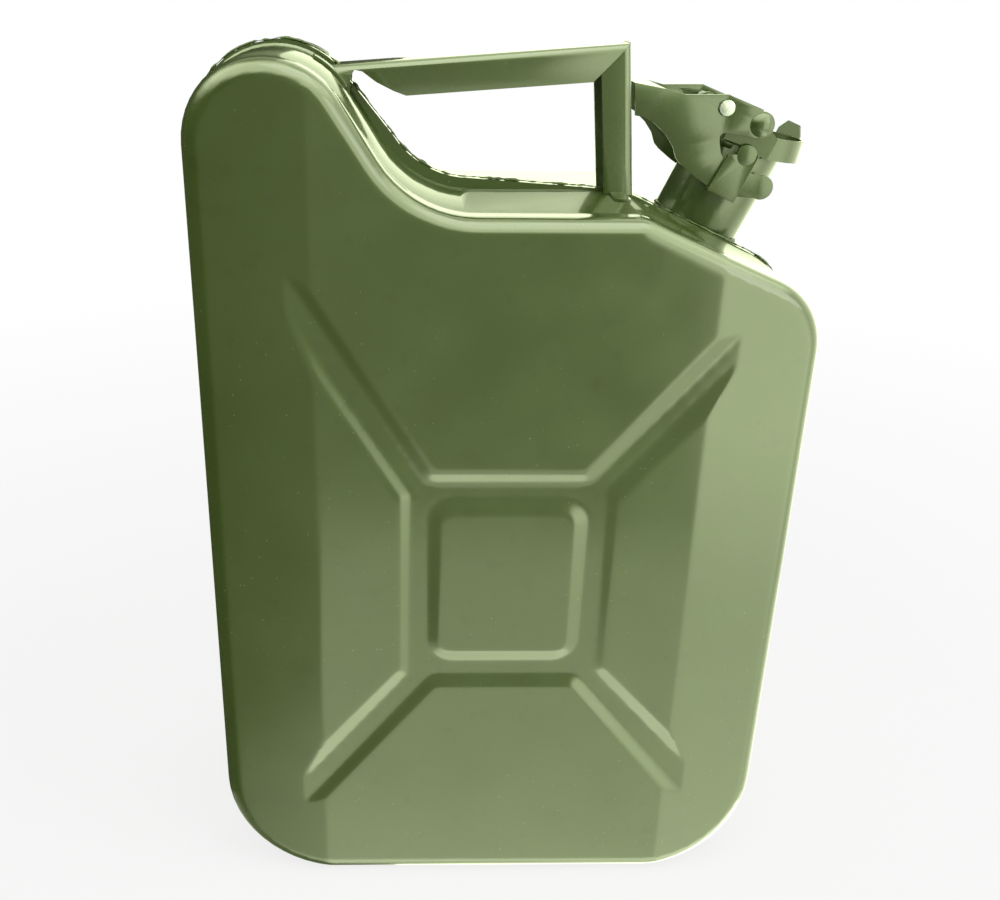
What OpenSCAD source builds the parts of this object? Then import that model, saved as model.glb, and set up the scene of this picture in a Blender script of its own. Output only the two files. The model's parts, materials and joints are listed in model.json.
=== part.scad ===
// Pressed steel fuel can with a folded carrying handle and a tilted neck shut by a lever cap.
// Millimetres, +Z is up, the front panel faces -Y and the welded seam lies in the plane y = 0.

/* [Body] */
// width of the pressed body
body_w = 270; // [200:1:340]
// depth of the pressed body, front panel to rear panel
body_d = 124; // [90:1:160]
// height of the hump that carries the left end of the handle
hump_z = 404; // [300:1:480]
// height of the level saddle under the handle
saddle_z = 343; // [250:1:420]
// where the hump's slope would meet the saddle, measured from the left side
saddle_in = 93.6; // [60:0.1:130]
// where the saddle bends down to the neck shoulder, measured from the right side
bend_in = 81.5; // [50:0.5:120]
// fall of the shoulder that carries the neck
neck_tilt = 24.2; // [10:0.1:40]
// steepness of the hump's right side
hump_slope = 56.6; // [40:0.1:75]
// corner radius at the bottom
bottom_r = 53; // [20:1:70]
// corner radius of the hump
hump_r = 34.5; // [15:0.5:50]
// inner radius between hump and saddle
saddle_r = 48; // [20:1:70]
// radius of the bend in the shoulder
bend_r = 12; // [9:1:30]
// radius of the lower end of the shoulder
shoulder_r = 34; // [15:1:50]
// thickness of the steel sheet
sheet_t = 1; // [0.7:0.1:2]
// radius of the pressed edge around both panels
edge_r = 7.5; // [3:0.5:9]

/* [Seam] */
// how far the sheet beside the seam stands above the panel edge
wall_rise = 0.7; // [0:0.1:3]
// how far that sheet lies above the ground under the can
wall_low = 4.9; // [2:0.1:8]
// half width of the sheet beside the seam
wall_w = 45; // [20:1:50]
// width of the slope from there to the panel edge
wall_step = 1.5; // [0.5:0.1:4]
// how far the seam flange stands above the panel edge around the hump
flange_rise = 2.5; // [1:0.1:6]
// the same where the hump meets the saddle
flange_saddle = 6.1; // [1:0.1:8]
// the same at the bend beside the post
flange_bend = 1.3; // [0.5:0.1:6]
// the same along the shoulder
flange_shoulder = 0.5; // [0.2:0.1:6]
// clearance between the flange and the ground
flange_low = 1.7; // [0.5:0.1:5]
// thickness of one flange
flange_t = 1.3; // [0.8:0.1:3]
// radius at the foot of the flange
flange_foot = 0.8; // [0.3:0.1:2]
// gap between the two flanges
flange_gap = 0.1; // [0.02:0.01:0.4]
// width of the weld bead on the flanges
bead_w = 2.8; // [2:0.1:6]
// height of the weld bead
bead_h = 1.1; // [0.5:0.1:3]
// shoulder of the weld bead
bead_edge = 0.5; // [0.2:0.1:1]

/* [Panel] */
// fall of both side borders from the creases to the rounded edge
border_fall = 5.5; // [2:0.1:10]
// left edge of the level field, from the middle
crease_left = 83.6; // [50:1:110]
// right edge of the level field, from the middle
crease_right = 87.3; // [50:1:110]
// depth of the pressed cross
cross_depth = 1.4; // [0.5:0.1:4]
// width of the slopes beside the cross
cross_slope = 6.2; // [2:0.1:9]
// half width of the middle of the cross
hub_w = 43.6; // [25:0.1:70]
// middle of the cross, from the middle of the body
hub_x = 2.1; // [-20:0.1:20]
// lower edge of the middle of the cross
hub_low = 123.4; // [60:0.1:160]
// upper edge of the middle of the cross
hub_high = 225.1; // [180:0.1:280]
// radius where the arms leave the middle
hub_r = 9; // [7:0.1:20]
// half width of the raised boss in the middle
boss_w = 36.2; // [15:0.1:60]
// lower edge of the boss
boss_low = 131.3; // [70:0.1:170]
// upper edge of the boss
boss_high = 217.2; // [170:0.1:270]
// corner radius of the boss
boss_r = 12; // [7:0.1:25]
// height of the boss over the floor of the cross
boss_rise = 1.2; // [0.5:0.1:4]

/* [Handle] */
// width of the folded handle across the seam
grip_w = 22; // [14:0.5:34]
// height of the folded handle
grip_h = 14.4; // [10:0.1:24]
// radius of the folded edges
grip_r = 4; // [2:0.1:7]
// sheet of the handle
grip_t = 1.3; // [0.8:0.1:2.5]
// rise of the handle toward the neck
grip_rise = 4.4; // [0:0.1:10]
// left end of the handle, from the middle of the hump's rounding
grip_past = 21.2; // [0:0.1:40]
// top of the handle at that end, above the middle of the hump's rounding
grip_over = 27.6; // [10:0.1:50]
// right face of the post at its middle, past the bend in the shoulder
post_past = 0.8; // [-10:0.1:20]
// depth of the post along the can
post_w = 13.2; // [8:0.1:22]
// lean of the post toward the hump
post_lean = 5.5; // [0:0.1:8]
// angle of the mitre between post and grip
mitre = 46; // [35:1:55]
// length of the foot tabs beside the seam
tab_l = 16; // [6:0.5:28]
// width of the foot tabs
tab_w = 6.6; // [4:0.1:12]
// half width of the pads on the hump
pad_w = 15; // [8:0.5:24]
// lower end of the pads around the hump, degrees above level
pad_low = 33; // [20:1:45]
// upper end of the pads around the hump, degrees above level
pad_high = 62; // [50:1:80]
// gap drawn between pieces that are welded or riveted together
weld_gap = 0.02; // [0.01:0.01:0.05]
// slot left for the seam under the handle
seam_slot = 5; // [4:0.1:9]
// radius of the weld beads on the handle
weld_r = 1.2; // [0.5:0.1:3]

/* [Neck] */
// distance of the neck axis behind the seam
neck_y = 22.1; // [15:0.1:40]
// neck axis along the shoulder, from the bend
neck_along = 44.1; // [30:0.1:70]
// outer radius of the neck
neck_r = 20.6; // [12:0.1:30]
// wall of the neck
neck_t = 1.2; // [0.8:0.1:3]
// length of the neck above the shoulder line
neck_l = 44; // [20:0.5:70]
// how far the neck reaches into the can
neck_in = 5; // [2:0.5:15]
// radius of the weld around the neck
neck_weld_r = 1.2; // [0.5:0.1:3]
// inner radius of the seat ring in the mouth
seat_r = 17; // [8:0.1:25]
// thickness of the seat ring
seat_t = 1.2; // [0.6:0.1:3]
// depth of the collar on the seat ring
seat_collar = 6; // [2:0.5:12]
// outer radius of the air tube
air_r = 4; // [2:0.1:8]
// wall of the air tube
air_t = 0.8; // [0.5:0.1:2]
// how far the air tube reaches below the shoulder line
air_low = 62; // [20:1:120]
// top of the air tube above the shoulder line
air_top = 36; // [10:1:40]

/* [Closure] */
// lever pivot along the neck
pivot_s = 51.9; // [40:0.1:70]
// lever pivot across the neck axis
pivot_u = -1.9; // [-10:0.1:10]
// radius of the pivot shank
pivot_r = 3; // [1.5:0.1:5]
// radius of the domed pivot head
head_r = 5.2; // [3:0.1:9]
// height of the domed pivot head
head_h = 2.4; // [1:0.1:5]
// free space around the pivot shank
running_gap = 0.05; // [0.01:0.01:0.1]
// cap pin along the neck
pin_s = 51.8; // [40:0.1:70]
// cap pin across the neck axis
pin_u = -19.8; // [-30:0.1:-10]
// radius of the cap pin
pin_r = 2.8; // [1.5:0.1:5]
// radius of the heads on the cap pin
pin_head = 3.4; // [2:0.1:6]
// how far the cap pin stands out of the lever
pin_out = 0.8; // [0.3:0.1:3]
// side gap between the layers of the closure
layer_gap = 0.25; // [0.15:0.01:0.6]
// how far the hinge band reaches behind the pivot
arm_rear = 12.1; // [8:0.1:18]
// half width of the hinge band around the pivot
arm_boss = 5.5; // [4:0.1:9]
// length of the welds under the hinge band
band_weld_l = 5; // [2:0.1:10]
// radius of those welds
band_weld_r = 2.6; // [1:0.1:4]
// thickness of the hinge band
band_t = 1; // [0.8:0.1:2.5]
// centre of the hinge band's bow in front of the neck axis
band_u = 8.6; // [3:0.1:15]
// lower edge of the hinge band
band_s = 39.6; // [30:0.1:50]
// height of the hinge band
band_h = 9.8; // [6:0.1:16]
// rise of the bow toward the front
band_rise = 14; // [0:0.1:20]
// top of the tab on the bow
lug_s = 59.8; // [50:0.1:70]
// width of the tab at the bow
lug_w = 13; // [8:0.1:24]
// width of the tab at its top
lug_top = 7; // [4:0.1:20]
// height of the slanted corners of the tab
lug_cut = 4.5; // [1:0.1:10]
// where the tab sits on the bow, degrees toward the rear panel
lug_turn = 36; // [0:1:70]
// length of the lever from the pivot to its tip
lever_l = 60.1; // [40:0.1:90]
// radius of the lever's rounded lower corner
finger_r = 5.4; // [3:0.1:10]
// thickness of the lever
lever_t = 1.3; // [1:0.1:3]
// width of the lever around the pivot
lever_end = 5.8; // [4:0.1:9]
// length of the closed top of the lever
lever_web = 14.5; // [8:0.1:30]
// keeper stud along the neck
stud_s = 37.8; // [25:0.1:45]
// keeper stud across the neck axis
stud_u = -1.4; // [-10:0.1:10]
// radius of the keeper stud
stud_r = 4.5; // [2:0.1:6]
// thickness of the keeper strap
keeper_t = 1.4; // [0.8:0.1:3]
// left edge of the keeper strap
keeper_left = -10; // [-16:0.1:-6]
// right edge of the keeper strap
keeper_right = 3.9; // [2:0.1:10]

/* [Cap] */
// radius of the cap
cap_r = 20.3; // [12:0.1:28]
// thickness of the cap plate
cap_t = 1.2; // [0.8:0.1:3]
// wall of the cap skirt
skirt_t = 0.7; // [0.4:0.1:2]
// thickness of the gasket
gasket_t = 2; // [1:0.1:5]
// inner radius of the gasket
gasket_in = 13; // [5:0.1:17]
// gap between gasket and seat in the drawing
seat_gap = 0.05; // [0.01:0.01:0.2]
// half width of the cap bracket
bracket_w = 10; // [6:0.1:16]
// thickness of the cap bracket
bracket_t = 1.4; // [0.8:0.1:3]
// front end of the cap bracket
bracket_front = 8; // [2:0.1:14]
// rear end of the bracket's foot
bracket_rear = -15; // [-18:0.1:-8]
// radius of the bracket around the pin
bracket_r = 3.6; // [3.5:0.1:7]
// radius of the rivet that holds the bracket
rivet_r = 2.4; // [1:0.1:5]
// place of the rivet across the neck axis
rivet_u = -3; // [-8:0.1:4]
// radius of the rivet's head
rivet_head = 4.4; // [2:0.1:8]
// height of the rivet's head
rivet_h = 1.5; // [0.5:0.1:4]

/* [Hidden] */
cut = 2;
// the rounded edge is drawn this much past the front and cut back to it
skim = 0.12;
fine = 96;
half_w = body_w / 2;
half_d = body_d / 2;
crest_y = half_d - edge_r;
saddle_x = saddle_in - half_w;
bend_x = half_w - bend_in;
shoulder_z = saddle_z - (half_w - bend_x) * tan(neck_tilt);
hump_x = saddle_x - (hump_z - saddle_z) / tan(hump_slope);
hump_c = [hump_x - hump_r * tan(hump_slope / 2), hump_z - hump_r];
grip_left = hump_c.x + grip_past;
grip_top = hump_c.y + grip_over;
post_x = bend_x + post_past;
neck_x = bend_x + neck_along * cos(neck_tilt);
neck_z = saddle_z - neck_along * sin(neck_tilt);
floor_z = saddle_z + wall_rise;
arm_in = neck_r + layer_gap / 2;
arm_out = arm_in + band_t;
lever_in = arm_out + layer_gap;
lever_out = lever_in + lever_t;
keeper_in = lever_out + layer_gap;
keeper_out = keeper_in + keeper_t;
seat_s = neck_l + seat_t;
gasket_s = seat_s + seat_gap;
cap_s = gasket_s + gasket_t;
bracket_s = cap_s + cap_t;

// outline of the body, anticlockwise from the bottom left, seen from the front
outline = [[-half_w, 0], [half_w, 0], [half_w, shoulder_z], [bend_x, saddle_z],
    [saddle_x, saddle_z], [hump_x, hump_z], [-half_w, hump_z]];
outline_r = [bottom_r, bottom_r, shoulder_r, bend_r, saddle_r, hump_r, hump_r];
outline_n = [12, 12, 10, 5, 9, 8, 12];
// insets of the sheet beside the seam and of the seam flange at the same corners
wall_d = [wall_low, wall_low, 0, -wall_rise, -wall_rise, -wall_rise, -wall_rise];
flange_d = [flange_low, flange_low, -flange_shoulder, -flange_bend, -flange_saddle,
    -flange_rise - wall_rise, -flange_rise];

// pressed cross: where each edge of an arm leaves the middle, as shares of the middle's
// half width and height, and the slope of that edge
cross_shares = [[-1, 0.952, 1.59], [-1, 0.0165, -1.206], [-0.787, 0, -1.252], [0.837, 0, -1.241],
    [1, 0.0243, -1.1], [1, 0.958, 1.177], [0.825, 1, 1.195], [-0.864, 1, 1.6]];
// the ends of the four arms run under the sloping borders
arm_end = edge_r * 3.3;
cross = [for (i = [0:7])
    let (q = cross_shares[i],
        p = [hub_x + hub_w * q.x, hub_low + (hub_high - hub_low) * q.y],
        x = q.x < 0 ? -crease_left - arm_end : crease_right + arm_end,
        far = [x, p.y + abs(x - p.x) * q.z])
    each i % 2 == 0 ? [far, p] : [p, far]];

boss = [[hub_x - boss_w, boss_low], [hub_x + boss_w, boss_low],
    [hub_x + boss_w, boss_high], [hub_x - boss_w, boss_high]];

// side view of the lever from its pivot, across and along the neck, as shares of its length
lever_shares = [
    [-1, -0.13], [-0.767, -0.072], [-0.622, -0.048], [-0.334, 0.085], [-0.045, 0.1],
    [0, 0.002], [0.013, -0.098], [-0.065, -0.113], [-0.185, -0.148], [-0.233, -0.17],
    [-0.243, -0.198], [-0.223, -0.235], [-0.176, -0.296], [-0.135, -0.329], [0.123, -0.333],
    [0.24, -0.304], [0.236, -0.481], [0.116, -0.524], [-0.138, -0.551], [-0.273, -0.529],
    [-0.408, -0.496], [-0.459, -0.473], [-0.522, -0.408], [-0.614, -0.356], [-0.735, -0.319],
    [-0.825, -0.314], [-0.887, -0.331]];
finger_share = [0.238, -0.393];
pivot = [pivot_u, pivot_s];
lever_side = [for (q = lever_shares) pivot + lever_l * q];
// lower end of the keeper straps, whose feet pass under the lever
keeper_s = min([for (q = lever_side) q.y]) - layer_gap - keeper_t;

// side view of one arm of the hinge band
arm_side = [[pivot_u - arm_rear, pivot_s - arm_rear], [pivot_u - arm_rear / 3, band_s + band_t],
    [band_u, band_s], [band_u, band_s + band_h], [pivot_u + arm_boss, pivot_s],
    [pivot_u, pivot_s + arm_boss], [pivot_u - arm_boss, pivot_s],
    [pivot_u - arm_rear, pivot_s - arm_boss]];

// underside of the grip from its left end, as shares of its height
curve_shares = [[2.486, -0.854], [2.014, -0.6875], [1.507, -0.444], [1.09, -0.146],
    [0.861, -0.104], [0.75, -0.285], [0.694, -1.188], [2.486, -1.882]];

function unit(v) = v / norm(v);
function bend(a, b) = atan2(a.x * b.y - a.y * b.x, a * b);

// one rounded corner moved inward by d; inner corners grow, outer corners shrink
function corner(p, q, r, rad, d, n) =
    let (a = unit(q - p), b = unit(r - q), t = bend(a, b), s = t > 0 ? 1 : -1,
        c = q + unit(b - a) * rad / cos(t / 2), start = atan2(a.y, a.x) - 90,
        k = s > 0 ? rad - d : -rad - d)
    [for (i = [0:n]) c + k * [cos(start + t * i / n), sin(start + t * i / n)]];

// closed ring around a list of corners
function ring(p, rad, d, n) =
    [for (i = [0:len(p) - 1])
        each corner(p[(i + len(p) - 1) % len(p)], p[i], p[(i + 1) % len(p)], rad[i], d[i], n[i])];

function same(p, v) = [for (q = p) v];
function more(d, v) = [for (q = d) q + v];

// how far the front lies back at this point of a side border
function fall(p) =
    let (crease = p.x < 0 ? crease_left : crease_right)
    border_fall * max(0, abs(p.x) - crease) / (half_w - edge_r - crease);

// the ring with a point more just past each crease that it crosses below the handle
function creased(r) =
    [for (i = [0:len(r) - 1])
        let (p = r[i], q = r[(i + 1) % len(r)],
            x = p.x < 0 ? -crease_left - 2 * skim : crease_right + 2 * skim)
        each p.y < saddle_z && (p.x - x) * (q.x - x) < 0 ?
            [p, p + (q - p) * (x - p.x) / (q.x - p.x)] : [p]];

// solid between matching rings, each ring a list of points in space
module loft(rings) {
    n = len(rings[0]);
    m = len(rings);
    points = [for (r = rings) each r];
    sides = [for (j = [0:m - 2]) for (i = [0:n - 1])
        let (k = (i + 1) % n)
        each [[j * n + i, j * n + k, (j + 1) * n + k], [j * n + i, (j + 1) * n + k, (j + 1) * n + i]]];
    polyhedron(points = points,
        faces = concat([[for (i = [0:n - 1]) n - 1 - i]], sides, [[for (i = [0:n - 1]) (m - 1) * n + i]]),
        convexity = 8);
}

// closed hoop whose section goes round through matching rings
module hoop(rings) {
    n = len(rings[0]);
    m = len(rings);
    points = [for (r = rings) each r];
    polyhedron(points = points, convexity = 8,
        faces = [for (j = [0:m - 1]) for (i = [0:n - 1])
            let (k = (i + 1) % n, l = (j + 1) % m)
            each [[j * n + i, j * n + k, l * n + k], [j * n + i, l * n + k, l * n + i]]]);
}

// ring of the body outline at the insets d, at the depth y
function body_ring(d, y, sink) =
    [for (p = creased(ring(outline, outline_r, d, outline_n)))
        [p.x, y - (sink ? fall(p) : 0), p.y]];

// one half of the body as a solid; g is how far its skin lies inside the outer skin
module half_body(g) {
    e = edge_r - g + skim;
    front = half_d - g;
    inner = more(wall_d, g);
    intersection() {
        loft(concat(
            g > 0 ? [body_ring(inner, -cut, false)] :
                [body_ring(flange_d, flange_gap / 2, false),
                body_ring(flange_d, flange_t, false),
                body_ring([for (i = [0:6]) wall_d[i] - min(flange_foot, (wall_d[i] - flange_d[i]) * 0.8)],
                    flange_t, false),
                body_ring(wall_d, flange_t + flange_foot, false)],
            [body_ring(inner, wall_w + g * 0.6, false),
            body_ring(same(outline, g), wall_w + wall_step + g * 0.6, false),
            body_ring(same(outline, g), crest_y, true)],
            [for (q = [15:15:90])
                body_ring(same(outline, g + e * (1 - cos(q))), crest_y + e * sin(q), true)],
            [body_ring(same(outline, g + e), half_d + edge_r, false)]));
        // the level field and the two borders that fall away beside it
        translate([0, 0, -body_w])
            linear_extrude(2 * body_w + hump_z)
                polygon([[-body_w, -2 * cut], [body_w, -2 * cut], [body_w, front - fall([body_w, 0])],
                    [crease_right, front], [-crease_left, front], [-body_w, front - fall([-body_w, 0])]]);
    }
}

// the cross, pressed in; its arms run out on the falling borders
module cross_cut(g) {
    floor_y = half_d - g - cross_depth;
    over = 1.3;
    rad = [for (i = [0:3]) each [2, hub_r, hub_r, 2]];
    n = [for (i = [0:3]) each [1, 4, 4, 1]];
    deep = ring(cross, rad, same(cross, 0), n);
    wide = ring(cross, rad, same(cross, -cross_slope * over), n);
    loft([[for (p = deep) [p.x, floor_y, p.y]],
        [for (p = wide) [p.x, floor_y + cross_depth * over, p.y]]]);
}

// the boss in the middle of the cross
module boss_form(g) {
    floor_y = half_d - g - cross_depth;
    n = [6, 6, 6, 6];
    foot = ring(boss, same(boss, boss_r), same(boss, -cross_slope), n);
    top = ring(boss, same(boss, boss_r), same(boss, cross_slope), n);
    loft([[for (p = foot) [p.x, floor_y - boss_rise, p.y]],
        [for (p = top) [p.x, floor_y + boss_rise, p.y]]]);
}

module panel_form(g) {
    difference() {
        half_body(g);
        cross_cut(g);
    }
    boss_form(g);
}

module half_shell() {
    difference() {
        panel_form(0);
        panel_form(sheet_t);
    }
}

module at_neck() {
    translate([neck_x, neck_y, neck_z])
        rotate([0, neck_tilt, 0])
            children();
}

// a plate drawn across and along the neck, t thick, from y = w away from the front
module side_plate(w, t) {
    translate([0, w + t, 0])
        rotate([90, 0, 0])
            linear_extrude(t)
                children();
}

// the same plate on both sides of the neck
module both_plates(w, t) {
    side_plate(w, t) children();
    side_plate(-w - t, t) children();
}

module rod(u, s, r, w0, w1) {
    translate([u, w0, s])
        rotate([-90, 0, 0])
            cylinder(h = w1 - w0, r = r, $fn = fine);
}

module front_shell() {
    color([0.33, 0.4, 0.22]) mirror([0, 1, 0]) half_shell();
}

module rear_shell() {
    color([0.33, 0.4, 0.22])
        difference() {
            half_shell();
            at_neck()
                translate([0, 0, -3 * neck_in])
                    cylinder(h = 6 * neck_in, r = neck_r + weld_gap, $fn = fine);
        }
}

module seam_weld() {
    low = more(flange_d, -flange_gap / 10);
    top = more(flange_d, -bead_h);
    side = more(top, bead_edge);
    color([0.3, 0.36, 0.2])
        hoop([body_ring(low, -bead_w / 2, false), body_ring(side, -bead_w / 2, false),
            body_ring(top, -bead_w / 2 + bead_edge, false), body_ring(top, bead_w / 2 - bead_edge, false),
            body_ring(side, bead_w / 2, false), body_ring(low, bead_w / 2, false)]);
}

module folded(w, h, r, t) {
    difference() {
        union() {
            translate([-w / 2, -h]) square([w, h - r]);
            translate([-w / 2 + r, -h]) square([w - 2 * r, h]);
            for (s = [-1, 1]) translate([s * (w / 2 - r), -r]) circle(r, $fn = fine);
        }
        translate([-w / 2 + t, -h - cut]) square([w - 2 * t, h + cut - r]);
        translate([-w / 2 + r, -h - cut]) square([w - 2 * r, h + cut - t]);
        for (s = [-1, 1]) translate([s * (w / 2 - r), -r]) circle(r - t, $fn = fine);
    }
}

// where the mitre starts, at the outer corner of the handle
post_mid = (saddle_z + grip_top) / 2;
corner_z = grip_top + (post_x - grip_left) * tan(grip_rise);
corner_x = post_x - (corner_z - post_mid) * tan(post_lean);

// everything on one side of the mitre between grip and post
module mitre_side(lower) {
    translate([corner_x, 0, corner_z])
        rotate([0, -mitre, 0])
            translate([-body_w, -grip_w, lower ? weld_gap : -body_w - weld_gap])
                cube([2 * body_w, 2 * grip_w, body_w]);
}

module handle_grip() {
    l = (post_x - grip_left) / cos(grip_rise) + grip_h;
    color([0.33, 0.4, 0.22])
        difference() {
            union() {
                difference() {
                    translate([grip_left, 0, grip_top])
                        rotate([0, -grip_rise, 0])
                            rotate([90, 0, 90])
                                linear_extrude(l) folded(grip_w, grip_h, grip_r, grip_t);
                    // the grip is cut back in a long curve toward the hump
                    translate([0, grip_w, 0])
                        rotate([90, 0, 0])
                            linear_extrude(2 * grip_w)
                                polygon([for (q = curve_shares) [grip_left, grip_top] + grip_h * q]);
                    translate([hump_c.x, -grip_w, hump_c.y])
                        rotate([-90, 0, 0])
                            cylinder(h = 2 * grip_w, r = hump_r + wall_rise, $fn = 2 * fine);
                }
                // pads on both sides of the seam
                intersection() {
                    translate([hump_c.x, -pad_w, hump_c.y])
                        rotate([-90, 0, 0])
                            difference() {
                                cylinder(h = 2 * pad_w, r = hump_r + wall_rise + grip_t, $fn = 2 * fine);
                                translate([0, 0, -cut])
                                    cylinder(h = 2 * pad_w + 2 * cut, r = hump_r + wall_rise + weld_gap,
                                        $fn = 2 * fine);
                            }
                    translate([hump_c.x, grip_w, hump_c.y])
                        rotate([90, 0, 0])
                            linear_extrude(2 * grip_w)
                                polygon([[0, 0], 2 * hump_r * [cos(pad_low), sin(pad_low)],
                                    2 * hump_r * [cos(pad_high), sin(pad_high)]]);
                }
            }
            // room for the seam
            translate([hump_c.x, -seam_slot / 2, hump_c.y])
                rotate([-90, 0, 0])
                    cylinder(h = seam_slot,
                        r = hump_r + flange_rise + wall_rise + bead_h + layer_gap, $fn = 2 * fine);
            mitre_side(false);
        }
}

module handle_post() {
    tab_x = post_x + (post_mid - saddle_z) * tan(post_lean) - post_w + tab_w / 3;
    color([0.33, 0.4, 0.22])
        difference() {
            union() {
                translate([post_x, 0, post_mid])
                    rotate([0, -post_lean, 0])
                        translate([0, 0, -grip_top / 4])
                            linear_extrude(grip_top / 2)
                                rotate(-90)
                                    folded(grip_w, post_w, grip_r, grip_t);
                for (s = [0, 1])
                    mirror([0, s, 0])
                        translate([tab_x, grip_w / 2 - grip_t, floor_z + weld_gap]) {
                            translate([tab_w / 2, 0, 0]) cube([tab_w / 2, tab_l + grip_t, grip_t]);
                            cube([tab_w, tab_l + grip_t - tab_w / 2, grip_t]);
                            translate([tab_w / 2, tab_l + grip_t - tab_w / 2, 0])
                                cylinder(h = grip_t, r = tab_w / 2, $fn = fine);
                        }
            }
            mitre_side(true);
            translate([-body_w, -body_w, floor_z + weld_gap - body_w])
                cube([2 * body_w, 2 * body_w, body_w]);
            translate([-body_w / 2, -seam_slot / 2, floor_z - cut])
                cube([body_w, seam_slot, cut + flange_saddle + bead_h]);
        }
}

module grip_welds() {
    color([0.3, 0.36, 0.2])
        intersection() {
            union()
                for (s = [-1, 1]) {
                    q = pad_high;
                    r = hump_r + wall_rise;
                    translate([hump_c.x + r * cos(q), s * pad_w * 0.58, hump_c.y + r * sin(q)])
                        rotate([0, -q, 0])
                            rotate([90, 0, 0]) {
                                cylinder(h = pad_w * 0.6, r = weld_r, center = true, $fn = fine);
                                for (e = [-1, 1])
                                    translate([0, 0, e * pad_w * 0.3]) sphere(weld_r, $fn = 32);
                            }
                }
            difference() {
                translate([hump_c.x, pad_w + cut, hump_c.y])
                    rotate([90, 0, 0])
                        linear_extrude(2 * pad_w + 2 * cut)
                            polygon([[0, 0], 2 * hump_r * [cos(pad_high), sin(pad_high)],
                                2 * hump_r * [cos(pad_high + 20), sin(pad_high + 20)]]);
                translate([hump_c.x, -pad_w - 2 * cut, hump_c.y])
                    rotate([-90, 0, 0])
                        cylinder(h = 2 * pad_w + 4 * cut, r = hump_r + wall_rise + weld_gap, $fn = 2 * fine);
            }
        }
}

module foot_welds() {
    x = post_x + (post_mid - saddle_z) * tan(post_lean) - post_w + tab_w / 3;
    color([0.3, 0.36, 0.2])
        for (s = [0, 1])
            mirror([0, s, 0])
                intersection() {
                    translate([x + tab_w, grip_w / 2 + tab_l * 0.45, floor_z])
                        rotate([90, 0, 0]) {
                            cylinder(h = tab_l * 0.6, r = weld_r, center = true, $fn = fine);
                            for (e = [-1, 1])
                                translate([0, 0, e * tab_l * 0.3]) sphere(weld_r, $fn = 32);
                        }
                    translate([x + tab_w + weld_gap, 0, floor_z + weld_gap]) cube([cut, body_d, cut]);
                }
}

module neck_tube() {
    color([0.33, 0.4, 0.22])
        at_neck()
            difference() {
                translate([0, 0, -neck_in]) cylinder(h = neck_in + neck_l, r = neck_r, $fn = fine);
                translate([0, 0, -neck_in - cut])
                    cylinder(h = neck_in + neck_l + 2 * cut, r = neck_r - neck_t, $fn = fine);
            }
}

module neck_weld() {
    color([0.3, 0.36, 0.2])
        at_neck()
            difference() {
                translate([0, 0, wall_rise + weld_gap])
                    rotate_extrude($fn = fine)
                        intersection() {
                            translate([neck_r, 0]) circle(neck_weld_r, $fn = fine);
                            translate([neck_r + weld_gap, 0]) square(neck_weld_r + cut);
                        }
                // the ring stops on both sides of the seam
                translate([-neck_r, -neck_y - neck_r, -neck_weld_r])
                    cube([2 * neck_r, neck_r + flange_t + flange_foot + weld_gap, 2 * neck_r]);
            }
}

module seat_ring() {
    color([0.33, 0.4, 0.22])
        at_neck()
            difference() {
                union() {
                    translate([0, 0, neck_l]) cylinder(h = seat_t, r = neck_r, $fn = fine);
                    translate([0, 0, neck_l - seat_collar])
                        cylinder(h = seat_collar + seat_t, r = neck_r - neck_t - weld_gap, $fn = fine);
                }
                translate([0, 0, neck_l - seat_collar - cut])
                    cylinder(h = seat_collar + seat_t + 2 * cut, r = seat_r, $fn = fine);
            }
}

module air_tube() {
    color([0.45, 0.46, 0.45])
        at_neck()
            translate([-(neck_r - neck_t - air_r - weld_gap), 0, -air_low])
                difference() {
                    cylinder(h = air_low + air_top, r = air_r, $fn = fine);
                    translate([0, 0, -cut])
                        cylinder(h = air_low + air_top + 2 * cut, r = air_r - air_t, $fn = fine);
                }
}

module hinge_band() {
    color([0.33, 0.4, 0.22])
        at_neck()
            difference() {
                union() {
                    both_plates(arm_in, band_t) union() {
                        polygon(arm_side);
                        translate([pivot_u, pivot_s]) circle(arm_boss, $fn = fine);
                    }
                    translate([band_u - band_t, 0, band_s])
                        rotate([0, -band_rise, 0])
                            difference() {
                                cylinder(h = band_h, r = arm_out, $fn = fine);
                                translate([0, 0, -cut])
                                    cylinder(h = band_h + 2 * cut, r = arm_in, $fn = fine);
                                translate([-body_w, -body_w / 2, -cut])
                                    cube([body_w, body_w, band_h + 2 * cut]);
                            }
                    // the tab that stands up from the bow
                    translate([band_u - band_t, 0, 0])
                        rotate(lug_turn)
                            translate([arm_in - band_t, 0, 0])
                                rotate([90, 0, 90])
                                    linear_extrude(band_t)
                                        polygon([[-lug_w / 2, band_s + band_h],
                                            [lug_w / 2, band_s + band_h],
                                            [lug_w / 2, lug_s - lug_cut], [lug_top / 2, lug_s],
                                            [-lug_top / 2, lug_s], [-lug_w / 2, lug_s - lug_cut]]);
                }
                rod(pivot_u, pivot_s, pivot_r + weld_gap, -keeper_out, keeper_out);
                rod(stud_u, stud_s, stud_r + layer_gap, -keeper_out, keeper_out);
            }
}

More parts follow.
